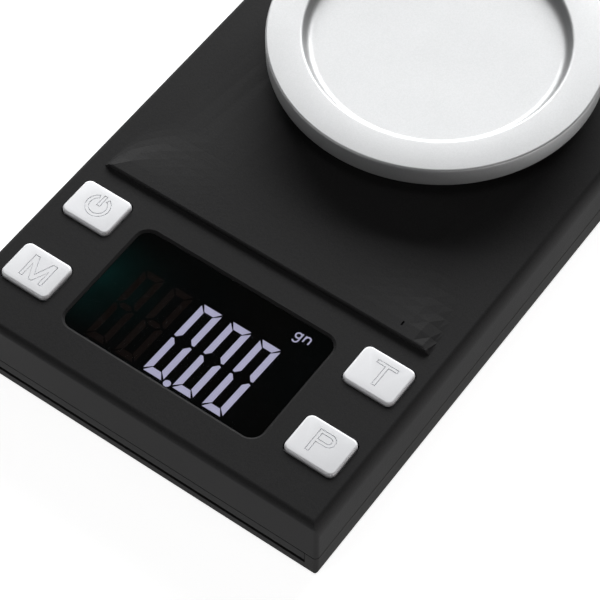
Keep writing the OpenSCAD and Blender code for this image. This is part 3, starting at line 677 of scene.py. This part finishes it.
def on_lcd(points, x0, y0):
    """Millimetres on the display, slanted, to metres in the CAD frame, anticlockwise."""
    moved = [((x0 + x + SLANT * y) * MM, FRONT + (y0 + y) * MM) for x, y in points]
    area = sum(a[0] * b[1] - b[0] * a[1] for a, b in zip(moved, moved[1:] + moved[:1]))
    return moved if area > 0 else moved[::-1]


def area_prism(points, thickness=AREA):
    return prism(points, LCD_TOP, LCD_TOP + thickness)


def stroke(path, width):
    """Outline of a stroke along a path."""
    left, right = [], []
    n = len(path)
    for k in range(n):
        p = Vector(path[k])
        a = (p - Vector(path[k - 1])).normalized() if k else None
        b = (Vector(path[k + 1]) - p).normalized() if k < n - 1 else None
        t = ((a or b) + (b or a)).normalized()
        nrm = Vector((-t.y, t.x))
        scale = 1 / max(0.5, nrm.dot(Vector((-(a or b).y, (a or b).x))))
        left.append(tuple(p + nrm * width / 2 * scale))
        right.append(tuple(p - nrm * width / 2 * scale))
    return left + right[::-1]


parts = segment_outlines()
lit_prisms, ghost_prisms = [], []
for k in range(-2, 3):
    x0 = DIGIT_X + PITCH * k
    for name, outline in parts.items():
        if k >= 0 and name != "g":
            lit_prisms.append(area_prism(on_lcd(outline, x0, DIGIT_Y)))
        elif k < 0:
            ghost_prisms.append(area_prism(on_lcd(outline, x0, DIGIT_Y)))
lit_prisms.append(area_prism(on_lcd(arc(*POINT, 0, 345, 23), 0, 0)))

GN_X, GN_Y, GN_W = 12.5, 28.0, 0.27
g_stem = [(1.14, 1.5), (1.14, -0.1)] + arc(0.62, -0.1, 0.52, -20, -150, 8)
n_stem = [(1.85, 0.15), (1.85, 1.5)]
n_arch = [(1.9, 0.95)] + arc(2.4, 0.98, 0.5, 150, 0, 8) + [(2.9, 0.15)]
for path in (g_stem, n_stem, n_arch):
    outline = [(GN_X + x, GN_Y + y) for x, y in stroke(path, GN_W)]
    lit_prisms.append(area_prism(on_lcd(outline, 0, 0), STROKE_AREA))
ring_out = on_lcd([(GN_X + x, GN_Y + y) for x, y in arc(0.62, 0.82, 0.52 + GN_W / 2, 0, 348, 29)], 0, 0)
ring_in = on_lcd([(GN_X + x, GN_Y + y) for x, y in arc(0.62, 0.82, 0.52 - GN_W / 2, 0, 348, 29)], 0, 0)

new_object("lcd_lit_segments", join_prisms("lcd_lit_segments", lit_prisms), lit, "case")
bowl_mesh = ring_mesh("lcd_lit_bowl", ring_out, ring_in, LCD_TOP, LCD_TOP + AREA)
new_object("lcd_lit_bowl", bowl_mesh, lit, "case")
ghost_mesh = join_prisms("lcd_unlit_segments", ghost_prisms)
new_object("lcd_unlit_segments", ghost_mesh, unlit, "case")


# ---------------------------------------------------------------- studio

def softbox(name, place, size, watts, colour=(1, 1, 1)):
    """Rectangular soft light that faces the origin of the frame."""
    data = bpy.data.lights.new(name, "AREA")
    data.shape = "RECTANGLE"
    data.size, data.size_y = size
    data.energy = watts
    data.color = colour
    obj = bpy.data.objects.new(name, data)
    scene.collection.objects.link(obj)
    obj.location = place
    obj.rotation_euler = Vector(place).to_track_quat("Z", "Y").to_euler()


softbox("rear_softbox", (-0.42, 0.85, 0.48), (1.3, 0.45), 21.5)
softbox("front_softbox", (-0.33, -0.75, 0.42), (0.4, 0.4), 1.2)
softbox("top_softbox", (0.2, -0.12, 1.0), (0.35, 0.35), 0.8)
softbox("right_fill", (0.8, -0.1, 0.3), (0.4, 0.3), 0.9, (1, 0.93, 0.9))

world = bpy.data.worlds.new("studio")
scene.world = world
world.use_nodes = True
back = world.node_tree.nodes["Background"]
back.inputs["Color"].default_value = (0.012, 0.012, 0.0125, 1)

FLOOR = 3.0
floor_mesh = bpy.data.meshes.new("floor")
floor_mesh.from_pydata([(-FLOOR, -FLOOR, 0), (FLOOR, -FLOOR, 0), (FLOOR, FLOOR, 0), (-FLOOR, FLOOR, 0)], [],
                       [(0, 1, 2, 3)])
floor = bpy.data.objects.new("floor", floor_mesh)
scene.collection.objects.link(floor)
paper = plain("floor_paper", (0.6, 0.6, 0.6), 0.9, spec=0.0, tone=0.01, grain=800, grain_depth=0.00001)
paper.set(Emission_Color=(1, 1, 1, 1), Emission_Strength=0.86)
floor_mesh.materials.append(paper.material)

scene.view_settings.view_transform = "Standard"
